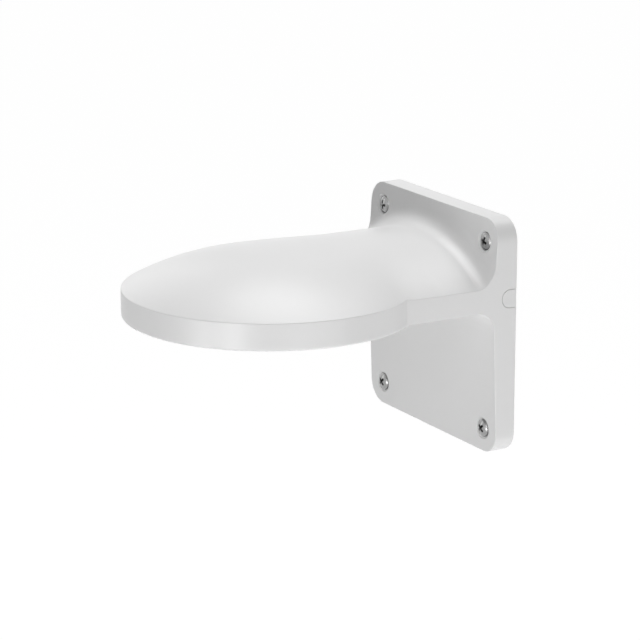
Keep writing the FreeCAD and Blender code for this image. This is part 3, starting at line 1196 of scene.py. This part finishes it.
def direction(azimuth: float, elevation: float) -> Vector:
    """Point from the bracket towards a place round it.

    Args:
        azimuth: 0 is straight in front of the plate and 90 is on the +X side, in degrees.
        elevation: Above the horizon, in degrees.

    Returns:
        The direction, one metre long.
    """
    turn, rise = math.radians(azimuth), math.radians(elevation)
    return Vector((math.sin(turn) * math.cos(rise), -math.cos(turn) * math.cos(rise),
                   math.sin(rise)))


def aim(thing: Object, place: Vector, target: Vector) -> None:
    """Put a lamp or a camera at a place and turn it to a target, upright."""
    thing.location = place
    thing.rotation_euler = (target - place).to_track_quat("-Z", "Y").to_euler()


@dataclass(frozen=True)
class PhotoCamera:
    """Camera at the photograph's angle."""

    target: Vector = field(default_factory=lambda: Vector((-24.24, -50.40, -2.85)) * MM)
    azimuth: float = 60.164
    elevation: float = 14.959
    distance: float = 1.13737
    lens: float = 150.07
    sensor_width: float = 36.0
    clip_start: float = 0.01

    def build(self) -> Object:
        """Make the camera and give it to the scene.

        Returns:
            The camera.
        """
        data = bpy.data.cameras.new("photo_camera")
        data.lens = self.lens
        data.sensor_width = self.sensor_width
        data.clip_start = self.clip_start
        camera = show("photo_camera", data)
        away = direction(self.azimuth, self.elevation) * self.distance
        aim(camera, self.target + away, self.target)
        bpy.context.scene.camera = camera
        return camera


@dataclass(frozen=True)
class Softbox:
    """Soft lamp that is turned to the bracket's middle, square unless it has a height."""

    name: str
    azimuth: float
    elevation: float
    power: float
    width: float = 0.8
    height: float | None = None
    distance: float = 1.3

    def build(self, target: Vector) -> Object:
        """Make the lamp.

        Args:
            target: The point that it is turned to.

        Returns:
            The lamp.
        """
        data = bpy.data.lights.new(self.name, "AREA")
        data.shape = "RECTANGLE"
        data.size = self.width
        data.size_y = self.height or self.width
        data.energy = self.power
        lamp = show(self.name, data)
        aim(lamp, target + direction(self.azimuth, self.elevation) * self.distance, target)
        return lamp


@dataclass
class Studio:
    """Plain white studio: a floor well below the bracket, a white surround and soft lamps."""

    middle: Vector = field(default_factory=lambda: Vector((0, -0.075, 0.0)))
    white: Colour = (1.0, 1.0, 1.0)
    ambient: float = 0.03
    floor_level: float = -0.65
    floor_size: float = 24.0
    floor_colour: Colour = (0.8, 0.8, 0.8)
    floor_glow: float = 1.1
    floor_glow_share: float = 0.9
    # Each lamp's azimuth and elevation, in degrees, and power, in watts.
    lamps: tuple[Softbox, ...] = (
        Softbox("overhead", 225, 72, 6.8),
        Softbox("overhead_left", 255, 66, 3.6),
        Softbox("overhead_back", 200, 60, 2.2),
        Softbox("left_upper", 250, 45, 1.2),
        Softbox("left", 272, 24, 1.7),
        Softbox("front", 0, 0, 0.3),
        Softbox("low", 20, -30, 1.7),
        Softbox("front_low", 10, -12, 2.4, width=0.4),
        Softbox("key", 34, -14, 3.1, width=0.28),
        Softbox("key_upper", 30, 15, 1.5, width=0.4),
        Softbox("right", 95, -8, 6.6, width=1.2),
        Softbox("right_upper", 65, 45, 1.2),
        Softbox("right_low", 115, -60, 1.0, width=0.4, distance=0.7),
        Softbox("right_back", 150, 0, 1.7),
        Softbox("back", 180, 5, 2.5),
        Softbox("strip", 314, 5, 0.5, width=0.14, height=0.6),
    )

    def build(self) -> None:
        """Make the surround, the floor and the lamps."""
        bpy.context.scene.view_settings.view_transform = "Standard"
        self._surround()
        self._floor()
        for lamp in self.lamps:
            lamp.build(self.middle)
        LOG.info("studio: %d lamps", len(self.lamps))

    @staticmethod
    def _seen(graph: NodeGraph) -> Signal:
        """Tell where the camera sees a point straight, in a reflection or through glass.

        Args:
            graph: The tree that the nodes go into.

        Returns:
            1 where it does and 0 elsewhere.
        """
        path = graph.node("ShaderNodeLightPath").outputs
        seen = Signal(graph, path["Is Camera Ray"])
        seen = seen.math("MAXIMUM", seen, Signal(graph, path["Is Glossy Ray"]))
        return seen.math("MAXIMUM", seen, Signal(graph, path["Is Transmission Ray"]))

    def _surround(self) -> None:
        """Make the white surround, which lights the bracket more weakly than it shows."""
        world = bpy.data.worlds.new("surround")
        world.use_nodes = True
        bpy.context.scene.world = world
        graph = NodeGraph(world.node_tree)
        glow, shown = (
            graph.node("ShaderNodeBackground", None,
                       {"Color": opaque(self.white), "Strength": strength}).outputs[0]
            for strength in (self.ambient, 1.0))
        mixed = graph.mix_shaders(self._seen(graph), glow, shown)
        graph.node("ShaderNodeOutputWorld", None, {"Surface": mixed})

    def _floor(self) -> None:
        half = self.floor_size / 2
        corners = [Vector((x * half, y * half, self.floor_level))
                   for x, y in ((-1, -1), (1, -1), (1, 1), (-1, 1))]
        floor = show("studio_floor", polygon_mesh("studio_floor", corners, [(0, 1, 2, 3)]))
        floor.data.materials.append(self._floor_finish())

    def _floor_finish(self) -> Material:
        """Make the floor's matt white, which shows almost as white as the surround.

        Returns:
            The material, which keeps a trace of the bracket's shadow.
        """
        graph = ShaderGraph("studio_floor")
        matt = graph.node("ShaderNodeBsdfDiffuse", None, {"Color": opaque(self.floor_colour)})
        glow = graph.node("ShaderNodeEmission", None, {
            "Color": opaque(self.white), "Strength": self.floor_glow})
        mixed = graph.mix_shaders(
            self._seen(graph) * self.floor_glow_share, matt.outputs[0], glow.outputs[0])
        graph.feed(graph.output.inputs["Surface"], mixed)
        return graph.material


def main() -> None:
    """Build the bracket's pieces, then the studio and the camera."""
    logging.basicConfig(level=logging.INFO, format="%(message)s")
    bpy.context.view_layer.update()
    PhotoCamera().build()
    for assembly in (Casting(), WellChamfers(), EntryPlug(), WallScrews()):
        assembly.build()
    Studio().build()


if __name__ == "__main__":
    main()
